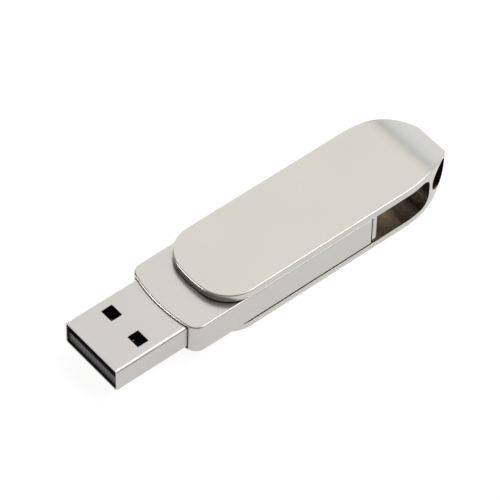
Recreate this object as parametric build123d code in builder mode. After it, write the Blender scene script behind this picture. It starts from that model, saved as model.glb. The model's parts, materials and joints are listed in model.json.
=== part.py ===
"""Swivel-cover USB flash drive: a metal drive with a Type-A plug, and a U-shaped cover that turns round it.

Millimetres. +X runs from the plug's tip to the nose of the cover, +Z is up, and the origin is the centre of
the footprint, on the surface that the cover's lower plate lies on.
"""
from build123d import *
from math import hypot, sqrt
import os

os.makedirs("parts", exist_ok=True)

# ------------------------------------------------------------------ driving dimensions
# The plug: a standard Type-A plug, folded from sheet.
plug_width = 12.0
plug_height = 4.5
plug_wall = 0.3
plug_corner = 0.55
plug_reach = 12.3            # shell that stands out of the casing
plug_seat = 6.5              # shell that carries on inside the casing
plug_seam = 0.08             # width and depth of the folded joint's line under the shell
latch_length = 2.0           # the square windows that a socket's springs drop into
latch_width = 2.45
latch_setback = 5.2
latch_offset = 3.06
tongue_setback = 0.35
mouth_depth = 11.0
block_fit = 0.03

# The contacts, moulded into the tongue.
contact_width = 1.0
contact_sheet = 0.2
contact_sunk = 0.1
contact_tail = 1.8
power_offset = 3.5
data_offset = 1.0
power_setback = 1.3
data_setback = 2.3

# The casing: a die-cast sleeve, open at the back.
slot_clearance = 0.05
casing_side = 1.525
casing_skin = 0.4
casing_length = 34.66
casing_front_radius = 27.0
casing_corner = 2.0
casing_edge = 0.25
cavity_side = 0.9
end_flange = 1.2
end_inset = 0.15
end_drop = 0.3
end_groove = 0.25
neck_side = 0.4
neck_rise = 0.05
end_spigot = 2.0
end_spigot_wall = 0.8
end_edge = 0.2

# The core: two plastic trays around the circuit board.
core_clearance = 0.05
core_floor = 0.4
core_rail = 0.375
core_end = 0.4
ledge = 0.4
board_sheet = 0.8
board_clearance = 0.05
tab_length = 2.5
tab_rise = 0.4
solder_reach = 0.45

# The parts on the board.
memory_height = 1.0
memory_standoff = 0.1
memory_margin = 0.2
memory_front_gap = 3.6
memory_rear_gap = 0.9
lead_reach = 0.8
lead_pitch = 0.5
lead_width = 0.22
lead_sheet = 0.15
controller_size = 6.0
controller_setback = 8.5      # from the board's front edge to the chip's middle
controller_clearance = 0.15   # between the chip and the lower tray's floor
pad_height = 0.05
pad_pitch = 0.5
pad_width = 0.25
pad_length = 0.4
crystal_length = 3.2
crystal_width = 2.5
crystal_clearance = 0.25
crystal_corner = 0.3
chip_length = 1.0             # the small capacitors and resistors
chip_width = 0.5
chip_height = 0.5
resistor_height = 0.35
chip_pitch = 1.6
part_gap = 0.5

# The cover: one bent strip with two plates, a web and a nose with a keyring hole.
cover_plate = 1.28
cover_clearance = 0.2
cover_overhang = 0.025
cover_setback = 5.8
cover_front_radius = 20.0
cover_corner = 5.6
cover_edge = 0.3
taper_length = 11.8
nose_width = 6.2
slope_length = 8.6
nose_height = 2.0
web_depth = 6.4
web_corner = 2.0
swing_clearance = 7.1
ring_radius = 2.3
ring_setback = 3.25

# The pivot: a stud in each plate, turning in the casing's walls on a thin washer.
pivot_setback = 7.6
stud_radius = 2.0
stud_clearance = 0.05
stud_recess = 0.6
stud_chamfer = 0.1
washer_sheet = 0.15
washer_clearance = 0.1
washer_width = 1.4

# ------------------------------------------------------------------ what follows from them
slot_width = plug_width + 2 * slot_clearance
slot_height = plug_height + 2 * slot_clearance
casing_width = slot_width + 2 * casing_side
casing_height = slot_height + 2 * casing_skin
cavity_width = casing_width - 2 * cavity_side
cavity_height = slot_height
cover_gap = casing_height + 2 * cover_clearance
cover_height = cover_gap + 2 * cover_plate
cover_width = casing_width + 2 * cover_overhang
mid_z = cover_height / 2

# Lengths from the pivot: the web stands clear of whatever the turning cover passes.
tip_to_pivot = plug_reach + cover_setback + pivot_setback
pivot_to_end = casing_length + end_flange - cover_setback - pivot_setback
plug_sweep = hypot(tip_to_pivot, plug_width / 2)
end_sweep = hypot(pivot_to_end, casing_width / 2)
pivot_to_web = max(plug_sweep, end_sweep) + swing_clearance
overall_length = tip_to_pivot + pivot_to_web + web_depth

# Places along X.
tip_x = -overall_length / 2
casing_front_x = tip_x + plug_reach
casing_rear_x = casing_front_x + casing_length
seat_x = casing_front_x + plug_seat
cover_front_x = casing_front_x + cover_setback
pivot_x = cover_front_x + pivot_setback
web_x = pivot_x + pivot_to_web
nose_x = web_x + web_depth
ring_x = nose_x - ring_setback
mouth_x = tip_x + mouth_depth
core_front_x = seat_x
core_rear_x = casing_rear_x - end_spigot - core_clearance
board_front_x = seat_x + board_clearance
board_rear_x = core_rear_x - core_end - board_clearance
tab_rear_x = seat_x + tab_length

# Sizes and heights inside the core.
core_width = cavity_width - 2 * core_clearance
core_height = cavity_height - 2 * core_clearance
board_width = core_width - 2 * (core_rail + board_clearance)
neck_width = plug_width - 2 * (plug_wall + board_clearance)
board_top = mid_z - contact_sunk
board_bottom = board_top - board_sheet
board_centre_x = (board_front_x + board_rear_x) / 2
board_length = board_rear_x - board_front_x
room_under_board = board_bottom - (mid_z - core_height / 2 + core_floor)


def across(x):
    """The plane across the drive at x, with its origin on the middle line."""
    return Plane((x, 0, mid_z), x_dir=(0, 1, 0), z_dir=(1, 0, 0))


def arc_rise(radius, chord):
    """How far an arc of this radius bulges over its chord."""
    return radius - sqrt(radius**2 - (chord / 2) ** 2)


# The upright plane down the middle, seen from the side.
side = Plane((0, 0, mid_z), x_dir=(1, 0, 0), z_dir=(0, -1, 0))

# ------------------------------------------------------------------ casing
with BuildPart() as casing:
    with BuildSketch(Plane.XY.offset(mid_z - casing_height / 2)) as casing_plan:
        shoulder_x = casing_front_x + arc_rise(casing_front_radius, casing_width)
        with BuildLine():
            front = ThreePointArc(
                (shoulder_x, -casing_width / 2), (casing_front_x, 0), (shoulder_x, casing_width / 2)
            )
            rear_left = (casing_rear_x, casing_width / 2)
            rear_right = (casing_rear_x, -casing_width / 2)
            Polyline(front @ 1, rear_left, rear_right, front @ 0)
        make_face()
        fillet(casing_plan.vertices().group_by(Axis.X)[0], radius=casing_corner)
    extrude(amount=casing_height)
    rim = casing.faces().filter_by(Axis.Z).edges()
    fillet(rim.filter_by(lambda edge: edge.center().X < casing_rear_x - 0.01), radius=casing_edge)
    # The slot that the plug stands out of.
    with BuildSketch(across(casing_front_x)):
        RectangleRounded(slot_width, slot_height, plug_corner + slot_clearance)
    extrude(amount=plug_seat, mode=Mode.SUBTRACT)
    # The cavity for the core, open at the back.
    with BuildSketch(across(seat_x)):
        Rectangle(cavity_width, cavity_height)
    extrude(amount=casing_length, mode=Mode.SUBTRACT)
    # The pivot holes, one in each wall.
    with BuildSketch(Plane.XY):
        with Locations((pivot_x, 0)):
            Circle(stud_radius + stud_clearance)
    extrude(amount=cover_height, mode=Mode.SUBTRACT)
casing.part.label = "casing"
export_step(casing.part, "parts/casing.step")

# ------------------------------------------------------------------ end cap
with BuildPart() as end_cap:
    # The neck seats on the casing's rear and leaves a shadow groove before the flange.
    with BuildSketch(across(casing_rear_x)):
        Rectangle(cavity_width + 2 * neck_side, cavity_height + 2 * neck_rise)
    extrude(amount=end_groove)
    with BuildSketch(across(casing_rear_x + end_groove)):
        RectangleRounded(casing_width - 2 * end_inset, casing_height - 2 * end_drop, casing_edge)
    extrude(amount=end_flange - end_groove)
    fillet(end_cap.faces().sort_by(Axis.X)[-1].edges(), radius=end_edge)
    with BuildSketch(across(casing_rear_x)):
        Rectangle(core_width, core_height)
        offset(amount=-end_spigot_wall, mode=Mode.SUBTRACT)
    extrude(amount=-end_spigot)
end_cap.part.label = "end_cap"
export_step(end_cap.part, "parts/end_cap.step")

# ------------------------------------------------------------------ plug
with BuildPart() as plug_shell:
    with BuildSketch(across(tip_x)):
        RectangleRounded(plug_width, plug_height, plug_corner)
        offset(amount=-plug_wall, mode=Mode.SUBTRACT)
    extrude(amount=plug_reach + plug_seat)
    with BuildSketch(Plane.XY):
        with Locations((tip_x + latch_setback + latch_length / 2, 0)):
            with GridLocations(0, 2 * latch_offset, 1, 2):
                Rectangle(latch_length, latch_width)
    extrude(amount=cover_height, mode=Mode.SUBTRACT)
    # The line where the folded sheet's edges meet, along the underside.
    with BuildSketch(across(tip_x)):
        with Locations((0, -plug_height / 2)):
            Rectangle(plug_seam, 2 * plug_seam)
    extrude(amount=plug_reach, mode=Mode.SUBTRACT)
    # Two tails at the back, which are soldered to the board.
    with BuildSketch(across(seat_x)):
        with Locations((0, board_bottom + (board_sheet + tab_rise) / 2 - mid_z)):
            with GridLocations(plug_width - plug_wall, 0, 2, 1):
                Rectangle(plug_wall, board_sheet + tab_rise)
    extrude(amount=tab_length)
plug_shell.part.label = "plug_shell"
export_step(plug_shell.part, "parts/plug_shell.step")

contacts = {
    "contact_power": (-power_offset, power_setback),
    "contact_data_minus": (-data_offset, data_setback),
    "contact_data_plus": (data_offset, data_setback),
    "contact_ground": (power_offset, power_setback),
}
contact_rear_x = seat_x + contact_tail

with BuildPart() as contact_block:
    bore_corner = plug_corner - plug_wall
    with BuildSketch(across(tip_x + tongue_setback)):
        RectangleRounded(
            plug_width - 2 * (plug_wall + block_fit), plug_height - 2 * (plug_wall + block_fit), bore_corner
        )
    extrude(amount=plug_reach + plug_seat - tongue_setback)
    # The open half above the tongue, where the socket's own tongue goes.
    with BuildSketch(Plane.XY.offset(mid_z)):
        with Locations(((tip_x + mouth_x) / 2, 0)):
            Rectangle(mouth_depth, plug_width)
    extrude(amount=plug_height, mode=Mode.SUBTRACT)
    # The grooves and passages that the contacts lie in.
    for offset_y, setback in contacts.values():
        with BuildSketch(Plane.XY.offset(mid_z - contact_sunk)):
            with Locations(((tip_x + setback + seat_x) / 2, offset_y)):
                Rectangle(seat_x - tip_x - setback, contact_width)
        extrude(amount=contact_sheet, mode=Mode.SUBTRACT)
contact_block.part.label = "contact_block"
export_step(contact_block.part, "parts/contact_block.step")

for name, (offset_y, setback) in contacts.items():
    with BuildPart() as contact:
        with BuildSketch(Plane.XY.offset(mid_z - contact_sunk)):
            with Locations(((tip_x + setback + contact_rear_x) / 2, offset_y)):
                Rectangle(contact_rear_x - tip_x - setback, contact_width)
        extrude(amount=contact_sheet)
    contact.part.label = name
    export_step(contact.part, f"parts/{name}.step")

# ------------------------------------------------------------------ circuit board
with BuildPart() as circuit_board:
    with BuildSketch(Plane.XY.offset(board_bottom)):
        with Locations((board_front_x, 0)):
            Rectangle(tab_length, neck_width, align=(Align.MIN, Align.CENTER))
        with Locations((board_front_x + tab_length, 0)):
            Rectangle(board_length - tab_length, board_width, align=(Align.MIN, Align.CENTER))
    extrude(amount=board_sheet)
circuit_board.part.label = "circuit_board"
export_step(circuit_board.part, "parts/circuit_board.step")

# A wedge of solder behind each contact's tail.
with BuildPart() as contact_solder:
    for offset_y, _ in contacts.values():
        with BuildSketch(side.offset(-offset_y - contact_width / 2)):
            foot = contact_rear_x, board_top - mid_z
            Polygon(foot, (foot[0] + solder_reach, foot[1]), (foot[0], foot[1] + contact_sheet), align=None)
        extrude(amount=contact_width)
contact_solder.part.label = "contact_solder"
export_step(contact_solder.part, "parts/contact_solder.step")

# A fillet of solder along each of the shell's tails.
with BuildPart() as shell_solder:
    with BuildSketch(across(board_front_x)):
        wall_y = plug_width / 2 - plug_wall
        foot_z = board_top - mid_z
        Polygon((wall_y, foot_z), (wall_y - solder_reach, foot_z), (wall_y, foot_z + tab_rise), align=None)
        mirror(about=Plane.YZ)
    extrude(amount=tab_length - board_clearance)
shell_solder.part.label = "shell_solder"
export_step(shell_solder.part, "parts/shell_solder.step")

# ------------------------------------------------------------------ memory chip and its legs
memory_front_x = contact_rear_x + memory_front_gap
memory_rear_x = board_rear_x - memory_rear_gap - lead_reach
memory_length = memory_rear_x - memory_front_x
memory_width = board_width - 2 * memory_margin
memory_bottom = board_top + memory_standoff

with BuildPart() as memory_chip:
    with BuildSketch(Plane.XY.offset(memory_bottom)):
        with Locations((memory_front_x + memory_length / 2, 0)):
            Rectangle(memory_length, memory_width)
    extrude(amount=memory_height)
memory_chip.part.label = "memory_chip"
export_step(memory_chip.part, "parts/memory_chip.step")

lead_count = int((memory_width - lead_width) / lead_pitch)
with BuildPart() as memory_leads:
    for end_x, outward in ((memory_front_x, -1), (memory_rear_x, 1)):
        # A gull-wing leg: out of the package, down, and flat along the board.
        with BuildSketch(side):
            knee_x = end_x + outward * (lead_reach / 2)
            foot_x = end_x + outward * lead_reach
            low = board_top - mid_z
            high = memory_bottom + memory_height / 2 - mid_z
            step = outward * lead_sheet / 2
            Polygon(
                (end_x, high),
                (knee_x - step, high),
                (knee_x - step, low),
                (foot_x, low),
                (foot_x, low + lead_sheet),
                (knee_x + step, low + lead_sheet),
                (knee_x + step, high + lead_sheet),
                (end_x, high + lead_sheet),
                align=None,
            )
        extrude(amount=memory_width / 2, both=True)
    # The strip is slit into single legs.
    with BuildSketch(Plane.XY):
        with Locations(((memory_front_x + memory_rear_x) / 2, 0)):
            with GridLocations(0, lead_pitch, 1, lead_count):
                Rectangle(memory_length + 2 * lead_reach, lead_width)
    extrude(amount=cover_height, mode=Mode.INTERSECT)
memory_leads.part.label = "memory_leads"
export_step(memory_leads.part, "parts/memory_leads.step")

# ------------------------------------------------------------------ controller, under the board
controller_x = board_front_x + controller_setback
controller_top = board_bottom - pad_height

with BuildPart() as controller_chip:
    with BuildSketch(Plane.XY.offset(controller_top)):
        with Locations((controller_x, 0)):
            Rectangle(controller_size, controller_size)
    extrude(amount=-(room_under_board - pad_height - controller_clearance))
controller_chip.part.label = "controller_chip"
export_step(controller_chip.part, "parts/controller_chip.step")

pad_count = int((controller_size - 2 * pad_length) / pad_pitch)
with BuildPart() as controller_pads:
    with BuildSketch(Plane.XY.offset(controller_top)):
        with Locations((controller_x, 0)):
            with GridLocations(controller_size - pad_length, pad_pitch, 2, pad_count):
                Rectangle(pad_length, pad_width)
            with GridLocations(pad_pitch, controller_size - pad_length, pad_count, 2):
                Rectangle(pad_width, pad_length)
    extrude(amount=pad_height)
controller_pads.part.label = "controller_pads"
export_step(controller_pads.part, "parts/controller_pads.step")

crystal_x = controller_x + controller_size / 2 + part_gap + crystal_width / 2
with BuildPart() as crystal:
    with BuildSketch(Plane.XY.offset(board_bottom)):
        with Locations((crystal_x, 0)):
            RectangleRounded(crystal_width, crystal_length, crystal_corner)
    extrude(amount=-(room_under_board - crystal_clearance))
crystal.part.label = "crystal"
export_step(crystal.part, "parts/crystal.step")

# ------------------------------------------------------------------ small parts
# Each row is (x of its middle, the board's face, the way up, how many side by side).
capacitor_rows = (
    (contact_rear_x + solder_reach + part_gap + chip_length / 2, board_top, 1, 4),
    (crystal_x + crystal_width / 2 + part_gap + chip_length / 2, board_bottom, -1, 3),
)
resistor_rows = ((controller_x - controller_size / 2 - part_gap - chip_length / 2, board_bottom, -1, 5),)
cap_length = chip_length / 4
bare_length = chip_length - 2 * cap_length

with BuildPart() as capacitors:
    for row_x, face_z, up, count in capacitor_rows:
        with BuildSketch(Plane.XY.offset(face_z)):
            with Locations((row_x, 0)):
                with GridLocations(0, chip_pitch, 1, count):
                    Rectangle(bare_length, chip_width)
        extrude(amount=up * chip_height)
capacitors.part.label = "capacitors"
export_step(capacitors.part, "parts/capacitors.step")

with BuildPart() as capacitor_ends:
    for row_x, face_z, up, count in capacitor_rows:
        with BuildSketch(Plane.XY.offset(face_z)):
            with Locations((row_x, 0)):
                with GridLocations(bare_length + cap_length, chip_pitch, 2, count):
                    Rectangle(cap_length, chip_width)
        extrude(amount=up * chip_height)
capacitor_ends.part.label = "capacitor_ends"
export_step(capacitor_ends.part, "parts/capacitor_ends.step")

with BuildPart() as resistors:
    for row_x, face_z, up, count in resistor_rows:
        with BuildSketch(Plane.XY.offset(face_z)):
            with Locations((row_x, 0)):
                with GridLocations(0, chip_pitch, 1, count):
                    Rectangle(bare_length, chip_width)
        extrude(amount=up * resistor_height)
resistors.part.label = "resistors"
export_step(resistors.part, "parts/resistors.step")

with BuildPart() as resistor_ends:
    for row_x, face_z, up, count in resistor_rows:
        with BuildSketch(Plane.XY.offset(face_z)):
            with Locations((row_x, 0)):
                with GridLocations(bare_length + cap_length, chip_pitch, 2, count):
                    Rectangle(cap_length, chip_width)
        extrude(amount=up * resistor_height)
resistor_ends.part.label = "resistor_ends"
export_step(resistor_ends.part, "parts/resistor_ends.step")

# ------------------------------------------------------------------ the two trays of the core
core_length = core_rear_x - core_front_x
core_bottom = mid_z - core_height / 2
core_top = mid_z + core_height / 2
pocket_length = core_length - core_end

with BuildPart() as core_lower:
    with BuildSketch(Plane.XY.offset(core_bottom)):
        with Locations((core_front_x, 0)):
            Rectangle(core_length, core_width, align=(Align.MIN, Align.CENTER))
    extrude(amount=board_top - core_bottom)
    # The recess that the board drops into, open towards the plug.
    with BuildSketch(Plane.XY.offset(board_bottom)):
        with Locations((core_front_x, 0)):
            recess_width = core_width - 2 * core_rail
            Rectangle(pocket_length, recess_width, align=(Align.MIN, Align.CENTER))
    extrude(amount=board_sheet, mode=Mode.SUBTRACT)
    # The hollow under the board, with a ledge left along each side.
    with BuildSketch(Plane.XY.offset(core_bottom + core_floor)):
        with Locations((core_front_x + ledge, 0)):
            hollow = recess_width - 2 * ledge
            Rectangle(pocket_length - 2 * ledge, hollow, align=(Align.MIN, Align.CENTER))
    extrude(amount=board_bottom - core_bottom - core_floor, mode=Mode.SUBTRACT)
core_lower.part.label = "core_lower"
export_step(core_lower.part, "parts/core_lower.step")

with BuildPart() as core_upper:
    with BuildSketch(Plane.XY.offset(board_top)):
        with Locations((core_front_x, 0)):
            Rectangle(core_length, core_width, align=(Align.MIN, Align.CENTER))
    extrude(amount=core_top - board_top)
    # The hollow over the board, open towards the plug.
    with BuildSketch(Plane.XY.offset(board_top)):
        with Locations((core_front_x, 0)):
            Rectangle(pocket_length, recess_width, align=(Align.MIN, Align.CENTER))
    extrude(amount=core_top - core_floor - board_top, mode=Mode.SUBTRACT)
core_upper.part.label = "core_upper"
export_step(core_upper.part, "parts/core_upper.step")

# ------------------------------------------------------------------ swivel cover
slope_x = nose_x - slope_length
taper_x = nose_x - taper_length


def taper_radius(run, drop):
    """The radius of an arc that starts straight and has dropped this much at the end of its run."""
    return (run**2 + drop**2) / (2 * drop)


with BuildPart() as swivel_cover:
    # The outline of both plates and the nose, seen from above.
    with BuildSketch(Plane.XY) as cover_plan:
        half_width = cover_width / 2
        rise = arc_rise(cover_front_radius, cover_width)
        bend = taper_radius(taper_length, half_width - nose_width / 2)
        with BuildLine():
            front = ThreePointArc(
                (cover_front_x + rise, half_width), (cover_front_x, 0), (cover_front_x + rise, -half_width)
            )
            right = Line(front @ 1, (taper_x, -half_width))
            right_bend = RadiusArc(right @ 1, (nose_x, -nose_width / 2), -bend)
            nose = Line(right_bend @ 1, (nose_x, nose_width / 2))
            left_bend = RadiusArc(nose @ 1, (taper_x, half_width), -bend)
            Line(left_bend @ 1, front @ 0)
        make_face()
        fillet(cover_plan.vertices().group_by(Axis.X)[0], radius=cover_corner)
    extrude(amount=cover_height)
    # The same piece seen from the side: level plates that curve in to the nose.
    with BuildSketch(side):
        half_height = cover_height / 2
        curl = taper_radius(slope_length, half_height - nose_height / 2)
        with BuildLine():
            base = Line((cover_front_x, -half_height), (slope_x, -half_height))
            low_curl = RadiusArc(base @ 1, (nose_x, -nose_height / 2), -curl)
            tip = Line(low_curl @ 1, (nose_x, nose_height / 2))
            high_curl = RadiusArc(tip @ 1, (slope_x, half_height), -curl)
            Polyline(high_curl @ 1, (cover_front_x, half_height), base @ 0)
        make_face()
    extrude(amount=cover_width, both=True, mode=Mode.INTERSECT)
    # The rounded rim, all round both plates and the nose.
    rim = swivel_cover.edges().filter_by(Axis.Z, reverse=True)
    fillet(rim.filter_by(lambda edge: abs(edge.center().X - slope_x) > 0.01), radius=cover_edge)
    # The space between the plates, closed by the web.
    with BuildSketch(side) as between_plates:
        with Locations((web_x, 0)):
            Rectangle(overall_length, cover_gap, align=(Align.MAX, Align.CENTER))
        fillet(between_plates.vertices().group_by(Axis.X)[-1], radius=web_corner)
    extrude(amount=cover_width, both=True, mode=Mode.SUBTRACT)
    # The keyring hole, from side to side behind the web.
    with BuildSketch(side):
        with Locations((ring_x, 0)):
            Circle(ring_radius)
    extrude(amount=cover_width, both=True, mode=Mode.SUBTRACT)
    # A blind seat for a stud in the inner face of each plate.
    with BuildSketch(Plane.XY.offset(mid_z)):
        with Locations((pivot_x, 0)):
            Circle(stud_radius)
    extrude(amount=cover_gap / 2 + stud_recess, both=True, mode=Mode.SUBTRACT)
swivel_cover.part.label = "swivel_cover"
export_step(swivel_cover.part, "parts/swivel_cover.step")

# ------------------------------------------------------------------ pivot studs and washers
stud_length = stud_recess + cover_clearance + casing_skin
for name, facing in (("upper", 1), ("lower", -1)):
    with BuildPart() as stud:
        with BuildSketch(Plane.XY.offset(mid_z + facing * (cover_gap / 2 + stud_recess))):
            with Locations((pivot_x, 0)):
                Circle(stud_radius)
        extrude(amount=-facing * stud_length)
        inner_face = stud.faces().filter_by(Axis.Z).sort_by(lambda face: abs(face.center().Z - mid_z))[0]
        chamfer(inner_face.edges(), length=stud_chamfer)
    stud.part.label = f"{name}_pivot_stud"
    export_step(stud.part, f"parts/{name}_pivot_stud.step")

    with BuildPart() as washer:
        with BuildSketch(Plane.XY.offset(mid_z + facing * casing_height / 2)):
            with Locations((pivot_x, 0)):
                Circle(stud_radius + washer_clearance + washer_width)
                Circle(stud_radius + washer_clearance, mode=Mode.SUBTRACT)
        extrude(amount=facing * washer_sheet)
    washer.part.label = f"{name}_washer"
    export_step(washer.part, f"parts/{name}_washer.step")
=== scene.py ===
# %% [markdown]
# # A USB flash drive with a swivel cover
# The drive is a flat metal casing with a plug at one end. A U-shaped metal cover turns round it on two
# hidden studs. The CAD model gives every size and place, and this lesson builds the surfaces that a
# person sees: rounded rims, thin folded sheet, satin plating, moulded plastic and gold contacts.

# %% Load the fixed frame
import json
from math import atan2, cos, degrees, hypot, pi, radians, sin, sqrt

import bmesh
import bpy
from bmesh.types import BMVert
from mathutils import Matrix, Vector


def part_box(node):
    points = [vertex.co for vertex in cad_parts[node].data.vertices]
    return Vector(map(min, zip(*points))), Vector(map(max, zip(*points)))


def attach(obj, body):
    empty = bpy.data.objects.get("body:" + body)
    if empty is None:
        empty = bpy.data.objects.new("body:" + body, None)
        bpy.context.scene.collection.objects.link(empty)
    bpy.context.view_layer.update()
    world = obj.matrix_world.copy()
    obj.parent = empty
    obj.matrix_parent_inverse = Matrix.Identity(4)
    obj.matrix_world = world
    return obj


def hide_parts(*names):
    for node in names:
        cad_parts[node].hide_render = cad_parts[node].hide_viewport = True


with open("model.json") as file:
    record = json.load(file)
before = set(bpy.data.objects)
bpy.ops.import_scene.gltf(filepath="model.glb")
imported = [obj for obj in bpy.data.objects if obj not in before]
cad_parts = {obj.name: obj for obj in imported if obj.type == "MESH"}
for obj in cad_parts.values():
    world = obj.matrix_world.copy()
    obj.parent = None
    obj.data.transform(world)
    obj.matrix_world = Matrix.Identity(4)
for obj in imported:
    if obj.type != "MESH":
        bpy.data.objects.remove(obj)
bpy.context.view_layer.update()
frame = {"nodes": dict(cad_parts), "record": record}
scene = bpy.context.scene
MM = 0.001

# %% [markdown]
# ## The camera
# A long lens far away keeps the drive's edges almost parallel, as small things are usually shown. A
# camera looks along its own minus Z, so its turn is made from the direction that it looks in. It is then
# rolled by a degree and a half, like a camera held by hand.

# %% Place the camera
AIM = Vector((-2.487, 0.673, 4.775)) * MM
AZIMUTH, ELEVATION, ROLL = radians(-40.93), radians(50.075), radians(1.595)
DISTANCE = 524.4 * MM
LENS, SENSOR = 255.7, 36.0

away = Vector((sin(AZIMUTH) * cos(ELEVATION), -cos(AZIMUTH) * cos(ELEVATION), sin(ELEVATION)))
camera_data = bpy.data.cameras.new("camera")
camera_data.lens = LENS
camera_data.sensor_width = SENSOR
camera_data.clip_start = 10 * MM
camera = bpy.data.objects.new("camera", camera_data)
turn = away.to_track_quat("Z", "Y").to_matrix().to_4x4()
camera.matrix_world = Matrix.Translation(AIM + away * DISTANCE) @ turn @ Matrix.Rotation(ROLL, 4, "Z")
scene.collection.objects.link(camera)
scene.camera = camera
print("camera at", [round(v / MM) for v in camera.matrix_world.translation], "mm")

# %% [markdown]
# ## Sizes that the pieces share
# The boxes of the CAD nodes say where each piece begins and ends. A few sizes can't be read from a box,
# such as the radius of a corner, so they are named here in millimetres.


# %% Read the places from the frame
def span(node, axis):
    """Where a CAD node begins and ends along an axis, in millimetres."""
    low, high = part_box(node)
    return low[axis] / MM, high[axis] / MM


X, Y, Z = 0, 1, 2
cover_front, nose = span("swivel_cover", X)
cover_half = span("swivel_cover", Y)[1]
cover_height = span("swivel_cover", Z)[1]
MIDDLE = cover_height / 2
casing_front, casing_rear = span("casing", X)
casing_half = span("casing", Y)[1]
casing_low, casing_high = span("casing", Z)
tip, plug_rear = span("plug_shell", X)
plug_half = span("plug_shell", Y)[1]
plug_low, plug_high = span("plug_shell", Z)
pivot = sum(span("upper_pivot_stud", X)) / 2
print(f"cover {nose - cover_front:.2f} long, {2 * cover_half:.2f} wide and {cover_height:.2f} high")
print(f"casing {casing_rear - casing_front:.2f} long, plug {2 * plug_half:.1f} by {plug_high - plug_low:.1f}")

# %% [markdown]
# ## A pen for outlines
# Every metal piece here starts as a flat outline, as it would on a drawing. bmesh has no pen, but two
# operators make one: an extruded vertex leaves a straight edge behind it, and a spun vertex leaves an
# arc. The closed loop is then filled, and the face is extruded to its height. Lengths here are in
# millimetres. Two small ones are needed again and again: points nearer than TOUCH count as one, and a
# face lies on a plane when it's nearer than NEAR.

# %% The pen
TOUCH, NEAR = 1e-4, 0.01


class Pen:
    """Draws the edge of a flat face from straight runs and arcs. Millimetres, in the XY plane."""

    def __init__(self, x, y):
        self.mesh = bmesh.new()
        self.tip = bmesh.ops.create_vert(self.mesh, co=(x, y, 0))["vert"][0]

    def line(self, x, y):
        """Goes straight to a point."""
        made = bmesh.ops.extrude_vert_indiv(self.mesh, verts=[self.tip])
        self.tip = made["verts"][0]
        self.tip.co = (x, y, 0)

    def arc(self, centre, turn, steps):
        """Goes round the centre by this many degrees, anticlockwise when positive."""
        centre = Vector((*centre, 0))
        made = bmesh.ops.spin(
            self.mesh, geom=[self.tip], cent=centre, axis=(0, 0, 1), angle=radians(turn), steps=steps
        )
        self.tip = [v for v in made["geom_last"] if isinstance(v, BMVert)][0]

    def close(self):
        """Joins the two ends, fills the loop and returns the mesh."""
        bmesh.ops.remove_doubles(self.mesh, verts=self.mesh.verts, dist=TOUCH)
        ends = [v for v in self.mesh.verts if len(v.link_edges) == 1]
        if ends:
            bmesh.ops.contextual_create(self.mesh, geom=ends)
        bmesh.ops.contextual_create(self.mesh, geom=self.mesh.edges[:])
        return self.mesh


def raise_to(mesh, low, high):
    """Turns a flat outline into a slab between two heights."""
    bmesh.ops.translate(mesh, verts=mesh.verts, vec=(0, 0, low))
    made = bmesh.ops.extrude_face_region(mesh, geom=mesh.faces[:])
    top = [v for v in made["geom"] if isinstance(v, BMVert)]
    bmesh.ops.translate(mesh, verts=top, vec=(0, 0, high - low))
    bmesh.ops.recalc_face_normals(mesh, faces=mesh.faces)
    return mesh


def round_edges(mesh, edges, radius, segments):
    """Rounds edges with the settings that the editor's bevel tool has."""
    bmesh.ops.bevel(
        mesh,
        geom=list(edges),
        offset=radius,
        offset_type="OFFSET",
        segments=segments,
        profile=0.5,
        affect="EDGES",
        clamp_overlap=True,
        material=-1,
    )


# %% [markdown]
# ## Finished pieces
# A mesh becomes an object that sits at the origin, because its place is in its vertices. Sharp edges
# are the ones between faces more than 40 degrees apart. All the others are shaded smooth, and a
# Weighted Normal modifier lets the large flat faces decide how the narrow bevels beside them shade.

# %% Make an object from a mesh
SHARP = radians(40)


def piece(name, mesh, finishes, body=None, stands_for=()):
    """A mesh in millimetres as a finished object in metres, riding on a body of the frame."""
    bmesh.ops.scale(mesh, verts=mesh.verts, vec=(MM, MM, MM))
    data = bpy.data.meshes.new(name)
    mesh.to_mesh(data)
    mesh.free()
    made = bpy.data.objects.new(name, data)
    scene.collection.objects.link(made)
    for finish in finishes:
        data.materials.append(finish)
    data.shade_smooth()
    data.set_sharp_from_angle(angle=SHARP)
    if body:
        weighted = made.modifiers.new("weighted normals", "WEIGHTED_NORMAL")
        weighted.keep_sharp = True
        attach(made, body)
        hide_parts(*stands_for)
        print(f"{name}: {len(data.vertices)} vertices, {len(data.polygons)} faces")
    return made


# %% [markdown]
# ## Cutting and joining solids
# Slots and holes are cut with Blender's Boolean modifier, and it also joins one solid to another. It is
# applied at once, so that the new edges can be rounded afterwards. Both meshes stay in millimetres
# while it works: the solver is more exact with numbers near one than with thousandths. A cutter
# reaches PAST the solid that it cuts, because two faces in one plane leave thin scraps.

# %% Cut and join
PAST = 1.0
MERGE = 1e-5


def combine(mesh, others, operation):
    """The mesh with the others taken out of it, or added to it. The others are used up."""
    for other in others:
        objects = []
        for label, part in (("kept", mesh), ("other", other)):
            data = bpy.data.meshes.new(label)
            part.to_mesh(data)
            part.free()
            objects.append(bpy.data.objects.new(label, data))
            scene.collection.objects.link(objects[-1])
        kept, tool = objects
        modifier = kept.modifiers.new("combine", "BOOLEAN")
        modifier.operation = operation
        modifier.solver = "EXACT"
        modifier.object = tool
        graph = bpy.context.evaluated_depsgraph_get()
        result = bpy.data.meshes.new_from_object(kept.evaluated_get(graph))
        mesh = bmesh.new()
        mesh.from_mesh(result)
        for left in objects:
            bpy.data.objects.remove(left)
        bmesh.ops.remove_doubles(mesh, verts=mesh.verts, dist=MERGE)
        bmesh.ops.dissolve_degenerate(mesh, dist=MERGE, edges=mesh.edges)
    return mesh


def cut(mesh, *cutters):
    """The mesh with the cutters taken out of it."""
    return combine(mesh, cutters, "DIFFERENCE")


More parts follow.
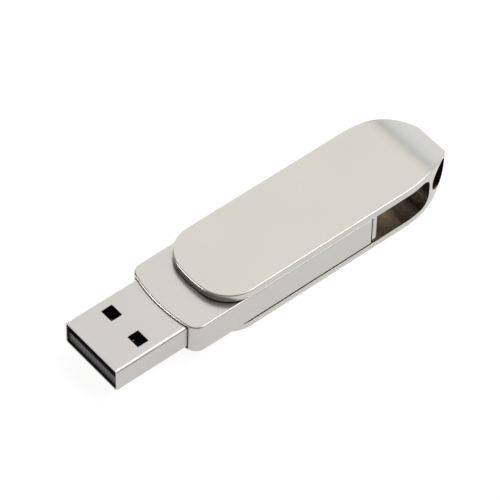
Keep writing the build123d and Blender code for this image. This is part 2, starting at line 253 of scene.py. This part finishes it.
def soften(mesh, radius, segments=2):
    """Rounds every edge that is still sharp."""
    sharp = [e for e in mesh.edges if len(e.link_faces) == 2 and e.calc_face_angle() > SHARP]
    round_edges(mesh, sharp, radius, segments)
    return mesh


def block(low, high):
    """A plain box between two corners."""
    mesh = bmesh.new()
    size = Vector(high) - Vector(low)
    bmesh.ops.create_cube(mesh, size=1.0)
    bmesh.ops.scale(mesh, verts=mesh.verts, vec=size)
    bmesh.ops.translate(mesh, verts=mesh.verts, vec=(Vector(high) + Vector(low)) / 2)
    return mesh


def rod(centre, radius, reach, direction, segments=96):
    """A round bar along Y or Z that reaches this far on both sides of its centre."""
    mesh = bmesh.new()
    bmesh.ops.create_cone(
        mesh, cap_ends=True, segments=segments, radius1=radius, radius2=radius, depth=2 * reach
    )
    if direction == "Y":
        bmesh.ops.rotate(mesh, verts=mesh.verts, matrix=Matrix.Rotation(pi / 2, 3, "X"))
    bmesh.ops.translate(mesh, verts=mesh.verts, vec=centre)
    return mesh


# %% [markdown]
# ## Writing materials as formulas
# A procedural material is arithmetic on the object's coordinates. Here one small class wraps an output
# socket, so that `0.4 + 0.1 * grain` adds the Math nodes for that sum, and one method adds any other
# node. Coordinates are turned into millimetres first, so that a grain's size is a number a maker knows.


# %% Shader maths
class Wire:
    """A value that runs along a link. Sums with it become Math nodes."""

    def __init__(self, finish, socket):
        self.finish = finish
        self.socket = socket

    def _maths(self, operation, first, second):
        return self.finish.node("ShaderNodeMath", {"operation": operation}, {0: first, 1: second})

    def __add__(self, other):
        return self._maths("ADD", self, other)

    def __radd__(self, other):
        return self._maths("ADD", other, self)

    def __sub__(self, other):
        return self._maths("SUBTRACT", self, other)

    def __mul__(self, other):
        return self._maths("MULTIPLY", self, other)

    def __rmul__(self, other):
        return self._maths("MULTIPLY", other, self)


class Finish:
    """One material under construction."""

    def __init__(self, name):
        self.material = bpy.data.materials.new(name)
        self.material.use_nodes = True
        self.tree = self.material.node_tree
        self.tree.nodes.clear()
        self.here = self.node("ShaderNodeTexCoord", {}, {}, "Object")

    def node(self, kind, settings, inputs, output=0):
        """Adds a node, sets it up, connects or fills its sockets, and returns one output."""
        made = self.tree.nodes.new(kind)
        for key, value in settings.items():
            setattr(made, key, value)
        for key, value in inputs.items():
            self.connect(made.inputs[key], value)
        return Wire(self, made.outputs[output])

    def connect(self, socket, value):
        """Links a wire to a socket, or fills the socket with a number, a vector or a colour."""
        if isinstance(value, Wire):
            self.tree.links.new(value.socket, socket)
        elif socket.type == "RGBA":
            socket.default_value = (*value, 1.0)
        else:
            socket.default_value = value

    def millimetres(self, stretch=(1, 1, 1), turn=(0, 0, 0)):
        """Object coordinates in millimetres, stretched or turned as a pattern needs."""
        scale = [each / MM for each in stretch]
        return self.node("ShaderNodeMapping", {}, {"Vector": self.here, "Scale": scale, "Rotation": turn})

    def noise(self, size, detail=2.0, stretch=(1, 1, 1), turn=(0, 0, 0)):
        """Cloudy noise, from 0 to 1, whose lumps are about this many millimetres across."""
        where = self.millimetres(stretch, turn)
        values = {"Vector": where, "Scale": 1 / size, "Detail": detail}
        return self.node("ShaderNodeTexNoise", {}, values, "Fac")

    def ramp(self, value, begin, end):
        """Rises from 0 to 1 while the value goes from begin to end."""
        made = self.node("ShaderNodeValToRGB", {}, {"Fac": value})
        first, last = made.socket.node.color_ramp.elements
        first.position = begin
        last.position = end
        return made

    def mix(self, amount, first, second):
        """A colour between two colours."""
        settings = {"data_type": "RGBA", "blend_type": "MIX"}
        return self.node("ShaderNodeMix", settings, {0: amount, 6: first, 7: second}, 2)

    def bump(self, height, depth):
        """A normal from a height between 0 and 1, this many millimetres deep."""
        return self.node("ShaderNodeBump", {}, {"Height": height, "Distance": depth * MM})

    def surface(self, **sockets):
        """The Principled shader, with spaces in its socket names written as underscores."""
        shader = self.tree.nodes.new("ShaderNodeBsdfPrincipled")
        for key, value in sockets.items():
            self.connect(shader.inputs[key.replace("_", " ")], value)
        end = self.tree.nodes.new("ShaderNodeOutputMaterial")
        self.tree.links.new(shader.outputs[0], end.inputs["Surface"])
        print(f"material {self.material.name}: {len(self.tree.nodes)} nodes")
        return self.material


# %% [markdown]
# ## Satin nickel
# The cover and casing are die-cast, blasted with fine beads and plated with nickel. Blasting leaves
# dimples about a twentieth of a millimetre across, far too small to model, so they are a bump. Plating
# is never quite even: its tone drifts over several millimetres, and handling leaves faint streaks that
# are a little smoother than the rest. Those only show as changes in roughness.


# %% Satin nickel
def satin_nickel(name, tone, shade, rough):
    """Blasted and plated metal between two tones, with about this roughness."""
    finish = Finish(name)
    drift = finish.noise(9.0, detail=3.0)
    grain = finish.noise(0.06, detail=1.0)
    streak = finish.noise(1.6, detail=4.0, stretch=(0.15, 1.0, 1.0), turn=(0, 0, 0.5))
    rubbed = finish.ramp(streak, 0.35, 0.75)
    colour = finish.mix(drift, tone, shade)
    return finish.surface(
        Base_Color=colour,
        Metallic=1.0,
        Roughness=rough + 0.05 * drift + 0.03 * grain - 0.01 * rubbed,
        Normal=finish.bump(grain, 0.0012),
    )


cover_nickel = satin_nickel("satin_nickel_cover", (0.57, 0.545, 0.51), (0.54, 0.525, 0.49), 0.25)
casing_nickel = satin_nickel("satin_nickel_casing", (0.55, 0.53, 0.50), (0.52, 0.51, 0.485), 0.24)

# %% [markdown]
# ## The inner faces of the cover
# No blasting beads reach between the plates, so those faces stay smooth. Their base colour is lighter and
# browner than the outside, a painted warm glow for light that goes to and fro between them. The web and the
# keyring hole get a near-black brown, painted shade where little light reaches. Each has a material of its
# own on the same piece.


# %% Nickel in the recess
def recess_nickel_painted_light(name, tone, shade):
    """Smooth plating between two tones, used here for painted light: a warm glow or a shade."""
    finish = Finish(name)
    drift = finish.noise(3.0, detail=2.0)
    grain = finish.noise(0.15, detail=2.0)
    return finish.surface(
        Base_Color=finish.mix(drift, tone, shade),
        Metallic=1.0,
        Roughness=0.14 + 0.08 * drift,
        Normal=finish.bump(grain, 0.001),
    )


# The lighter brown is a painted warm glow for the window faces; the near-black brown is painted shade for the
# web and the hole.
painted_glow_nickel = recess_nickel_painted_light("recess_nickel_painted_light", (0.72, 0.68, 0.61), (0.67, 0.635, 0.57))
painted_shade_nickel = recess_nickel_painted_light("painted_shade_nickel", (0.28, 0.235, 0.20), (0.22, 0.185, 0.16))

# %% [markdown]
# ## Painted shade in grooves and slots
# The fine groove before the end cap, the slot round the plug and the casing's rear face get a near-black dull
# metal. It is painted shade, which draws the fine shadow lines round the casing's ends. The inside of the
# plug gets the same painted shade.


# %% Painted shade for grooves and slots
def painted_shade_finish():
    """Near-black dull metal, painted shade for grooves, slots and hollows."""
    finish = Finish("zinc_painted_shade")
    dullness = finish.noise(0.5, detail=3.0)
    colour = finish.mix(dullness, (0.035, 0.033, 0.03), (0.06, 0.056, 0.052))
    return finish.surface(
        Base_Color=colour, Metallic=0.8, Roughness=0.5 + 0.2 * dullness, Normal=finish.bump(dullness, 0.004)
    )


painted_shade_zinc = painted_shade_finish()

# %% [markdown]
# ## Plug steel
# The plug is folded from bright nickel-plated strip. The rolls leave very fine lines along the strip,
# which here runs along the drive, and years in sockets leave short rubs in the same direction.


# %% Plug steel
def plug_steel():
    """Rolled strip, with its lines along the drive."""
    finish = Finish("plug_steel")
    lines = finish.noise(0.05, detail=2.0, stretch=(0.02, 1.0, 1.0))
    drift = finish.noise(5.0, detail=2.0)
    rub = finish.ramp(finish.noise(0.4, detail=3.0, stretch=(0.06, 1.0, 1.0)), 0.58, 0.72)
    colour = finish.mix(drift, (0.54, 0.525, 0.50), (0.51, 0.50, 0.485))
    return finish.surface(
        Base_Color=colour,
        Metallic=1.0,
        Roughness=0.27 + 0.04 * lines + 0.02 * rub,
        Normal=finish.bump(lines, 0.0006),
    )


steel = plug_steel()

# %% [markdown]
# ## Black plastic and gold
# The tongue is moulded in black plastic with a spark-eroded texture, matt with a trace of sheen. The
# contacts have a flash of gold, so thin that the rolled strip under it still shows as fine lines.


# %% Black plastic
def moulded(name, tone, rough, grain_size=0.08, depth=0.003):
    """Plastic with a grain this wide and deep, in millimetres."""
    finish = Finish(name)
    grain = finish.noise(grain_size, detail=2.0)
    drift = finish.noise(4.0)
    lighter = tuple(min(1.0, 1.35 * each + 0.004) for each in tone)
    return finish.surface(
        Base_Color=finish.mix(drift, tone, lighter),
        Roughness=rough + 0.12 * grain,
        Normal=finish.bump(grain, depth),
    )


black_plastic = moulded("black_plastic", (0.018, 0.018, 0.021), 0.38)
grey_plastic = moulded("grey_plastic", (0.075, 0.077, 0.082), 0.5)
nylon = moulded("white_nylon", (0.72, 0.70, 0.64), 0.32)


# %% Gold
def gold_flash():
    """Thin gold over rolled strip, paler where it has worn."""
    finish = Finish("gold_contact")
    lines = finish.noise(0.04, detail=2.0, stretch=(0.03, 1.0, 1.0))
    worn = finish.ramp(finish.noise(0.5, detail=3.0), 0.6, 0.75)
    colour = finish.mix(worn, (0.86, 0.61, 0.25), (0.78, 0.62, 0.36))
    return finish.surface(
        Base_Color=colour, Metallic=1.0, Roughness=0.2 + 0.1 * lines, Normal=finish.bump(lines, 0.0005)
    )


gold = gold_flash()

# %% [markdown]
# ## Shapes that come back
# The cover and the casing both have a front that is a shallow bow between two rounder corners. The
# three arcs meet without a kink when the corner's centre lies on the line from the bow's centre to
# where they touch, and that is what the square root below finds. Bars with a rounded section make the
# plug, its bore, the block in it, the slot in the casing and the end cap.

# %% A bowed front
CORNER_STEPS, BOW_STEPS = 20, 16


def bowed_front(pen, front, half, bow, corner):
    """Draws from the left side, round the front, to the right side."""
    inset = half - corner
    centre = front + bow - sqrt((bow - corner) ** 2 - inset**2)
    lean = degrees(atan2(inset, front + bow - centre))
    pen.line(centre, half)
    pen.arc((centre, inset), 90 - lean, CORNER_STEPS)
    pen.arc((front + bow, 0), 2 * lean, BOW_STEPS)
    pen.arc((centre, -inset), 90 - lean, CORNER_STEPS)


# %% A bar with a rounded section
ALONG_X = Matrix(((0, 0, 1), (1, 0, 0), (0, 1, 0)))


def round_bar(half_y, half_z, corner, begin, end, steps=8):
    """A bar on the drive's middle line, from one place along X to another."""
    pen = Pen(half_y, corner - half_z)
    pen.line(half_y, half_z - corner)
    pen.arc((half_y - corner, half_z - corner), 90, steps)
    pen.line(corner - half_y, half_z)
    pen.arc((corner - half_y, half_z - corner), 90, steps)
    pen.line(-half_y, corner - half_z)
    pen.arc((corner - half_y, corner - half_z), 90, steps)
    pen.line(half_y - corner, -half_z)
    pen.arc((half_y - corner, corner - half_z), 90, steps)
    mesh = raise_to(pen.close(), begin, end)
    bmesh.ops.rotate(mesh, verts=mesh.verts, matrix=ALONG_X)
    bmesh.ops.translate(mesh, verts=mesh.verts, vec=(0, 0, MIDDLE))
    return mesh


def rims(mesh):
    """The level edges where a flat top or underside turns down into a wall."""
    level = [e for e in mesh.edges if abs(e.verts[0].co.z - e.verts[1].co.z) < TOUCH]
    return [e for e in level if e.calc_face_angle() > radians(60)]


# %% [markdown]
# ## The swivel cover
# The real cover is one casting: two plates joined by a web, and a nose that curves in from all sides.
# It could be an intersection of two extruded outlines, but the thin slivers where they cross would
# spoil the rounding. So the plan is extruded and its rim rounded while everything is still flat, and
# then the nose is pressed down to its side view, which takes the rounded rim with it. A flat face can't
# bend, so ribs are drawn across the nose first, from each point of its left side to one on its right.

# %% The cover's outline and its curved nose
PLATE = 1.28
COVER_BOW, COVER_CORNER, COVER_RIM = 20.0, 5.6, 0.3
TAPER, NOSE_HALF = 11.8, 3.1
SLOPE, NOSE_RISE = 8.6, 1.0
NOSE_CORNER = 0.25
SIDE_STEPS = 28
taper_start, slope_start = nose - TAPER, nose - SLOPE


def bend_radius(run, drop):
    """The radius of an arc that starts straight and has dropped this much at the end of its run."""
    return (run**2 + drop**2) / (2 * drop)


side_bend = bend_radius(TAPER, cover_half - NOSE_HALF)
side_turn = degrees(atan2(TAPER, side_bend - (cover_half - NOSE_HALF)))
pen = Pen(taper_start, cover_half)
bowed_front(pen, cover_front, cover_half, COVER_BOW, COVER_CORNER)
pen.line(taper_start, -cover_half)
pen.arc((taper_start, side_bend - cover_half), side_turn, SIDE_STEPS)
pen.line(nose, NOSE_HALF)
pen.arc((taper_start, cover_half - side_bend), side_turn, SIDE_STEPS)
cover = pen.close()
along_nose = sorted((v for v in cover.verts if v.co.x > taper_start - TOUCH), key=lambda v: v.co.x)
left = [v for v in along_nose if v.co.y > 0]
right = [v for v in along_nose if v.co.y < 0]
for pair in list(zip(left, right))[:-1]:
    bmesh.ops.connect_verts(cover, verts=pair)
raise_to(cover, 0, cover_height)
at_nose = [e for e in cover.edges if all(v.co.x > nose - TOUCH for v in e.verts)]
upright = [e for e in at_nose if abs(e.verts[0].co.y - e.verts[1].co.y) < TOUCH]
round_edges(cover, upright, NOSE_CORNER, 4)
round_edges(cover, rims(cover), COVER_RIM, 5)

half_height = cover_height / 2
curl = bend_radius(SLOPE, half_height - NOSE_RISE)
for vert in cover.verts:
    along = vert.co.x - slope_start
    if along > 0:
        height_here = half_height - curl + sqrt(curl**2 - along**2)
        vert.co.z = MIDDLE + (vert.co.z - MIDDLE) * height_here / half_height
print("cover blank:", len(cover.verts), "vertices")

# %% [markdown]
# ### The window, the keyring hole and the stud seats
# The space between the plates is one cut with round corners at its closed end. The keyring hole goes
# from side to side through the nose. Its size and place are the CAD model's keyring mount. The two
# studs sit in shallow round seats in the plates' inner faces. Last, the faces inside the window get the
# painted warm glow, the web and the hole the painted shade, and the softened edges round them keep the outer
# material.

# %% Cut the cover
WEB, WEB_CORNER = 6.4, 2.0
STUD_SEAT = 0.6
web = nose - WEB
gap_low, gap_high = PLATE, cover_height - PLATE
mounts = {mount["name"]: mount for mount in frame["record"]["mounts"]}
ring_place = Vector(mounts["keyring_hole"]["pos_m"]) / MM
ring_radius = mounts["keyring_hole"]["dims"]["r_mm"]
stud_radius = (span("upper_pivot_stud", Y)[1] - span("upper_pivot_stud", Y)[0]) / 2
beyond = cover_half + PAST

pen = Pen(cover_front - PAST, gap_low)
pen.line(web - WEB_CORNER, gap_low)
pen.arc((web - WEB_CORNER, gap_low + WEB_CORNER), 90, 12)
pen.line(web, gap_high - WEB_CORNER)
pen.arc((web - WEB_CORNER, gap_high - WEB_CORNER), 90, 12)
pen.line(cover_front - PAST, gap_high)
gap = raise_to(pen.close(), -beyond, beyond)
bmesh.ops.rotate(gap, verts=gap.verts, matrix=Matrix.Rotation(pi / 2, 3, "X"))
ring_hole = rod(ring_place, ring_radius, beyond, "Y")
stud_seats = rod((pivot, 0, MIDDLE), stud_radius, half_height - PLATE + STUD_SEAT, "Z", 64)
cover = soften(cut(cover, gap, ring_hole, stud_seats), 0.1, 3)

# %% Mark the faces of the recess
PAINTED_GLOW, PAINTED_SHADE = 1, 2
for face in cover.faces:
    spot = face.calc_center_median()
    across = abs(face.normal.y) < 0.3
    between = spot.x < web + NEAR and gap_low - NEAR < spot.z < gap_high + NEAR
    front_wall = spot.x < cover_front + COVER_CORNER and abs(face.normal.z) < 0.5
    hole = hypot(spot.x - ring_place.x, spot.z - MIDDLE) < ring_radius + NEAR
    deep = hole or spot.x > web - WEB_CORNER
    # Faces near the web and in the keyring hole get the near-black painted shade, the other window faces the
    # painted glow.
    if across and ((between and not front_wall) or hole):
        face.material_index = PAINTED_SHADE if deep else PAINTED_GLOW
piece(
    "swivel_cover_finished",
    cover,
    [cover_nickel, painted_glow_nickel, painted_shade_nickel],
    "cover",
    ["swivel_cover"],
)

# %% [markdown]
# ## The casing
# The casing is a sleeve with a bowed front. Its rim is rounded everywhere but at the back, where the end
# cap closes it, and less underneath than on top. The plug's slot, the hollow for the core and the two
# pivot holes are cut right through, so that the drive is as open inside as the real one.

# %% Casing
CASING_BOW, CASING_CORNER, CASING_RIM = 27.0, 2.0, 0.25
LOWER_RIM = 0.14
SLOT_FIT, SLOT_CORNER = 0.05, 0.6
SEAT = 6.5
CAVITY_SIDE = 0.9
STUD_FIT = 0.05
seat = casing_front + SEAT
cavity_half = casing_half - CAVITY_SIDE
cavity_rise = (plug_high - plug_low) / 2 + SLOT_FIT

pen = Pen(casing_rear, casing_half)
bowed_front(pen, casing_front, casing_half, CASING_BOW, CASING_CORNER)
pen.line(casing_rear, -casing_half)
casing = raise_to(pen.close(), casing_low, casing_high)
front_rims = [e for e in rims(casing) if min(v.co.x for v in e.verts) < casing_rear - TOUCH]
round_edges(casing, [e for e in front_rims if e.verts[0].co.z > MIDDLE], CASING_RIM, 4)
round_edges(casing, [e for e in front_rims if e.is_valid and e.verts[0].co.z < MIDDLE], LOWER_RIM, 3)
slot = round_bar(plug_half + SLOT_FIT, cavity_rise, SLOT_CORNER, casing_front - PAST, seat + PAST)
cavity = block(
    (seat, -cavity_half, MIDDLE - cavity_rise), (casing_rear + PAST, cavity_half, MIDDLE + cavity_rise)
)
pivot_holes = rod((pivot, 0, MIDDLE), stud_radius + STUD_FIT, cover_height, "Z", 64)
casing = soften(cut(casing, slot, cavity, pivot_holes), 0.05)
# The slot round the plug and the rear face get the near-black painted shade.
for face in casing.faces:
    spot = face.calc_center_median()
    inside = abs(spot.y) < plug_half + SLOT_FIT + NEAR and abs(spot.z - MIDDLE) < cavity_rise + NEAR
    face.material_index = int(inside or spot.x > casing_rear - NEAR)
piece("casing_finished", casing, [casing_nickel, painted_shade_zinc], "drive", ["casing"])

# %% [markdown]
# ## The end cap
# The cap is a plain plate, a little smaller than the casing all round. It stands on a neck that is
# smaller still, so that a fine shadow shows where cap and casing meet, made darker by painted shade on the
# neck. A hollow spigot on the neck plugs into the casing. The three overlap a little where they meet, so that
# they become one solid.

# %% End cap
SPIGOT, SPIGOT_WALL = 2.0, 0.8
CAP_EDGE = 0.2
GROOVE, NECK_SIDE, NECK_RISE = 0.34, 0.4, 0.05
OVERLAP = 0.1
cap_rear = span("end_cap", X)[1]
cap_half = span("end_cap", Y)[1]
cap_rise = (span("end_cap", Z)[1] - span("end_cap", Z)[0]) / 2
end_cap = round_bar(cap_half, cap_rise, CASING_RIM, casing_rear + GROOVE, cap_rear, 4)
back_edges = [e for e in end_cap.edges if all(v.co.x > cap_rear - TOUCH for v in e.verts)]
round_edges(end_cap, back_edges, CAP_EDGE, 4)


def around(half_y, half_z, begin, end):
    """A square-cornered bar on the drive's middle line."""
    return block((begin, -half_y, MIDDLE - half_z), (end, half_y, MIDDLE + half_z))


neck_end = casing_rear + GROOVE
neck = around(cavity_half + NECK_SIDE, cavity_rise + NECK_RISE, casing_rear, neck_end + OVERLAP)
spigot_y, spigot_z = cavity_half - SLOT_FIT, cavity_rise - SLOT_FIT
spigot_end = casing_rear - SPIGOT
spigot = around(spigot_y, spigot_z, spigot_end, casing_rear + OVERLAP)
spigot_bore = around(spigot_y - SPIGOT_WALL, spigot_z - SPIGOT_WALL, spigot_end - PAST, casing_rear)
end_cap = soften(cut(combine(end_cap, [neck, spigot], "UNION"), spigot_bore), 0.04)
# The neck and the faces in front of it get the near-black painted shade, which darkens the groove's shadow
# line.
for face in end_cap.faces:
    face.material_index = int(face.calc_center_median().x < neck_end + NEAR)
piece(
    "end_cap_finished", end_cap, [casing_nickel, painted_shade_zinc], "drive", ["end_cap"]
)

# %% [markdown]
# ## The plug
# The shell is one strip of steel, folded round a rectangle until its two edges meet underneath, where a
# dovetail locks them. The bends are rounded by about the thickness of two sheets. A socket's springs
# drop into the four nearly square windows, which one cutter on each side makes in both faces. All the
# cut edges are stamped, so they are only barely rounded.

# %% Plug shell
SHEET = 0.3
BEND = 0.55
WINDOW_LONG, WINDOW_WIDE = 2.0, 2.45
WINDOW_SETBACK, WINDOW_OFFSET, WINDOW_CORNER = 5.2, 3.06, 0.12
plug_rise = (plug_high - plug_low) / 2

shell = round_bar(plug_half, plug_rise, BEND, tip, seat)
bore = round_bar(plug_half - SHEET, plug_rise - SHEET, BEND - SHEET, tip - PAST, seat + PAST)
windows = []
for side in (-1, 1):
    window = block(
        (tip + WINDOW_SETBACK, side * WINDOW_OFFSET - WINDOW_WIDE / 2, plug_low - PAST),
        (tip + WINDOW_SETBACK + WINDOW_LONG, side * WINDOW_OFFSET + WINDOW_WIDE / 2, plug_high + PAST),
    )
    upright = [e for e in window.edges if abs(e.verts[0].co.z - e.verts[1].co.z) > TOUCH]
    round_edges(window, upright, WINDOW_CORNER, 3)
    windows.append(window)
shell = cut(shell, bore, *windows)

# %% [markdown]
# The seam is a line less than a tenth of a millimetre wide along the underside, with one dovetail in
# it. A strip of edges is drawn, raised into a ribbon and given a thickness, and then cut out of the
# sheet from below, to half its depth.

# %% The folded seam
SEAM = 0.06
TAIL_WIDE, TAIL_ROOT, TAIL_TOP = 1.4, 0.8, 1.12
TAIL_BACK = 1.2
RIBBON = 0.5
seam_middle = (tip + casing_front) / 2 + TAIL_BACK
pen = Pen(tip - RIBBON, 0)
pen.line(seam_middle - TAIL_ROOT, 0)
pen.line(seam_middle - TAIL_TOP, TAIL_WIDE)
pen.line(seam_middle + TAIL_TOP, TAIL_WIDE)
pen.line(seam_middle + TAIL_ROOT, 0)
pen.line(seat + RIBBON, 0)
ribbon = pen.mesh
raised = bmesh.ops.extrude_edge_only(ribbon, edges=ribbon.edges[:])
tops = [v for v in raised["geom"] if isinstance(v, BMVert)]
bmesh.ops.translate(ribbon, verts=tops, vec=(0, 0, RIBBON))
bmesh.ops.recalc_face_normals(ribbon, faces=ribbon.faces)
bmesh.ops.solidify(ribbon, geom=ribbon.faces[:], thickness=SEAM)
bmesh.ops.translate(ribbon, verts=ribbon.verts, vec=(0, 0, plug_low - RIBBON + SHEET / 2))
bmesh.ops.recalc_face_normals(ribbon, faces=ribbon.faces)
shell = soften(cut(shell, ribbon), 0.035)
print("plug shell with its seam:", len(shell.faces), "faces")

# %% [markdown]
# Two tails carry on behind the shell, along the sides of the circuit board, and are soldered there. Each
# runs a hair into the shell, so that the two become one solid.

# %% The shell's tails
TAIL_RISE = 0.4
board_low, board_high = span("circuit_board", Z)
for side in (-1, 1):
    low_y, high_y = sorted((side * plug_half, side * (plug_half - SHEET)))
    tail = block((seat - NEAR, low_y, board_low), (plug_rear, high_y, board_high + TAIL_RISE))
    shell = combine(shell, [soften(tail, 0.04)], "UNION")
# The faces inside the shell get the near-black painted shade, which keeps the windows and the mouth dark.
for face in shell.faces:
    spot = face.calc_center_median()
    inside = abs(spot.y) < plug_half - SHEET + NEAR and abs(spot.z - MIDDLE) < plug_rise - SHEET + NEAR
    face.material_index = int(inside and face.normal.x > -0.5)
piece("plug_shell_finished", shell, [steel, painted_shade_zinc], "drive", ["plug_shell"])

# %% [markdown]
# ## The contact block and the contacts
# One black moulding fills the back of the plug and carries the tongue in its lower half. The four gold
# strips lie in grooves in the tongue. Power and ground reach further forward, so that they meet first.

# %% Contact block
CONTACTS = ("contact_power", "contact_data_minus", "contact_data_plus", "contact_ground")
MOUTH_DEPTH = 11.0
GROOVE_FIT = 0.02
block_front, block_rear = span("contact_block", X)
block_half = span("contact_block", Y)[1]
block_rise = (span("contact_block", Z)[1] - span("contact_block", Z)[0]) / 2
tongue = round_bar(block_half, block_rise, BEND - SHEET, block_front, block_rear, 5)
mouth = block((tip - PAST, -plug_half, MIDDLE), (tip + MOUTH_DEPTH, plug_half, plug_high))
grooves = []
for name in CONTACTS:
    low, high = (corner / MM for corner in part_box(name))
    groove_low = (low.x - GROOVE_FIT, low.y - GROOVE_FIT, low.z)
    groove_high = (block_rear + PAST, high.y + GROOVE_FIT, high.z + NEAR)
    grooves.append(block(groove_low, groove_high))
tongue = soften(cut(tongue, mouth, *grooves), 0.06)
piece("contact_block_finished", tongue, [black_plastic], "drive", ["contact_block"])

# %% Contacts
for name in CONTACTS:
    low, high = (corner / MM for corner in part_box(name))
    strip = soften(block(low, high), 0.05, 3)
    piece(f"{name}_finished", strip, [gold], "drive", [name])

# %% [markdown]
# ## Nodes that keep their CAD shape
# What is sealed inside the casing already has its real shape, so it only needs its real finish. The
# same goes for the pivot's studs and washers, which are almost hidden.


# %% Finishes of the inner pieces
def plain_metal(name, tone, rough):
    """Metal with a faint grain, for the inner pieces."""
    finish = Finish(name)
    grain = finish.noise(0.1, detail=2.0)
    drift = finish.noise(2.0)
    darker = tuple(0.92 * each for each in tone)
    return finish.surface(
        Base_Color=finish.mix(drift, tone, darker),
        Metallic=1.0,
        Roughness=rough + 0.1 * grain,
        Normal=finish.bump(grain, 0.001),
    )


def board_finish():
    """Green lacquer over a woven board with its copper tracks."""
    finish = Finish("board_green")
    weave = finish.noise(0.3, detail=1.0, stretch=(1, 4, 1))
    bricks = {"Vector": finish.millimetres(), "Scale": 0.55, "Mortar Size": 0.05}
    tracks = finish.node("ShaderNodeTexBrick", {"offset": 0.5}, bricks, "Fac")
    colour = finish.mix(tracks, (0.012, 0.10, 0.045), (0.03, 0.19, 0.085))
    return finish.surface(
        Base_Color=colour,
        Roughness=0.28 + 0.12 * weave,
        Coat_Weight=0.3,
        Normal=finish.bump(tracks * 0.7 + weave * 0.3, 0.02),
    )


tin = plain_metal("tinned", (0.76, 0.76, 0.75), 0.2)
can = plain_metal("crystal_can", (0.70, 0.69, 0.66), 0.28)
stud_steel = plain_metal("stud_steel", (0.56, 0.55, 0.53), 0.3)
board_green = board_finish()
chip_black = moulded("chip_black", (0.02, 0.02, 0.022), 0.5, 0.05, 0.004)
ceramic = moulded("ceramic_tan", (0.42, 0.27, 0.14), 0.45)
glaze = moulded("resistor_black", (0.015, 0.015, 0.018), 0.2)

# %% Dress the nodes
DRESS = {
    "circuit_board": board_green,
    "memory_chip": chip_black,
    "controller_chip": chip_black,
    "crystal": can,
    "capacitors": ceramic,
    "resistors": glaze,
    "core_upper": grey_plastic,
    "core_lower": grey_plastic,
    "upper_pivot_stud": stud_steel,
    "lower_pivot_stud": stud_steel,
    "upper_washer": nylon,
    "lower_washer": nylon,
    "contact_solder": tin,
    "shell_solder": tin,
    "memory_leads": tin,
    "controller_pads": tin,
    "capacitor_ends": tin,
    "resistor_ends": tin,
}
for name, finish in DRESS.items():
    node = frame["nodes"][name]
    node.data.materials.clear()
    node.data.materials.append(finish)
print("dressed", len(DRESS), "CAD nodes")

# %% [markdown]
# ## Floor and light
# The drive lies on a light table, a white sheet that glows from below, so its shadow is only a breath of
# grey. The sheet lies a hair under the drive, so that two surfaces never share a plane.

# %% Floor
FLOOR_DROP, FLOOR_HALF = 0.02, 5000


def floor_finish():
    """A matt white sheet that glows."""
    finish = Finish("floor_white")
    mottle = finish.noise(40.0, detail=3.0)
    return finish.surface(
        Base_Color=finish.mix(mottle, (0.2, 0.2, 0.2), (0.22, 0.22, 0.22)),
        Roughness=0.9,
        Emission_Color=(1.0, 1.0, 1.0),
        Emission_Strength=0.86,
    )


floor_mesh = bmesh.new()
bmesh.ops.create_grid(floor_mesh, x_segments=1, y_segments=1, size=FLOOR_HALF)
bmesh.ops.translate(floor_mesh, verts=floor_mesh.verts, vec=(0, 0, -FLOOR_DROP))
floor = piece("floor", floor_mesh, [floor_finish()])

# %% [markdown]
# The world round the table has two levels. It is dim for the metal, and for the camera it's as white as
# the sheet, so that no horizon shows.

# %% World
WORLD_FOR_METAL, WORLD_FOR_CAMERA = 0.1, 1.2
world = bpy.data.worlds.new("studio")
scene.world = world
world.use_nodes = True
background = world.node_tree.nodes["Background"]
background.inputs["Color"].default_value = (1.0, 0.96, 0.92, 1.0)
path = world.node_tree.nodes.new("ShaderNodeLightPath")
level = world.node_tree.nodes.new("ShaderNodeMapRange")
level.inputs["To Min"].default_value = WORLD_FOR_METAL
level.inputs["To Max"].default_value = WORLD_FOR_CAMERA
world.node_tree.links.new(path.outputs["Is Camera Ray"], level.inputs["Value"])
world.node_tree.links.new(level.outputs["Result"], background.inputs["Strength"])
print("world:", len(world.node_tree.nodes), "nodes")

# %% [markdown]
# Metal shows its surroundings, so the lights are large soft panels, and what matters is where they are
# seen in the metal: one above the plates, two low cool ones on the far side, and a strong one on the
# right that draws a bright line along every rounded edge. Low on the left there is only a small one, so
# that the front of the plate keeps its deep shadow. A faint one behind the camera fills the rest.

# %% Lights
REACH = 0.7


def panel(name, azimuth, elevation, width, height, power, colour):
    """A soft light that faces the drive from this far round and this high, in metres and watts."""
    round_by, up_by = radians(azimuth), radians(elevation)
    place = Vector((cos(round_by) * cos(up_by), sin(round_by) * cos(up_by), sin(up_by)))
    data = bpy.data.lights.new(name, "AREA")
    data.shape = "RECTANGLE"
    data.size = width
    data.size_y = height
    data.energy = power
    data.color = colour
    lamp = bpy.data.objects.new(name, data)
    lamp.location = place * REACH
    lamp.rotation_euler = place.to_track_quat("Z", "Y").to_euler()
    lamp.visible_camera = False
    scene.collection.objects.link(lamp)
    print(f"{name} panel: {power} W")


panel("overhead", 42, 54, 0.58, 0.62, 1.37, (0.975, 0.972, 0.955))
panel("right", 325, 43, 0.7, 0.85, 4.2, (0.97, 0.99, 1.0))
panel("behind", 76, 12, 0.7, 0.26, 1.6, (0.95, 0.98, 1.0))
panel("nose", 20, 12, 0.5, 0.34, 0.62, (0.9, 0.95, 1.0))
panel("left", 150, 18, 0.4, 0.22, 1.7, (1.0, 0.98, 0.95))
panel("front", 229, 45, 0.8, 0.8, 0.45, (1.0, 0.98, 0.95))
scene.view_settings.view_transform = "Standard"
scene.view_settings.look = "None"
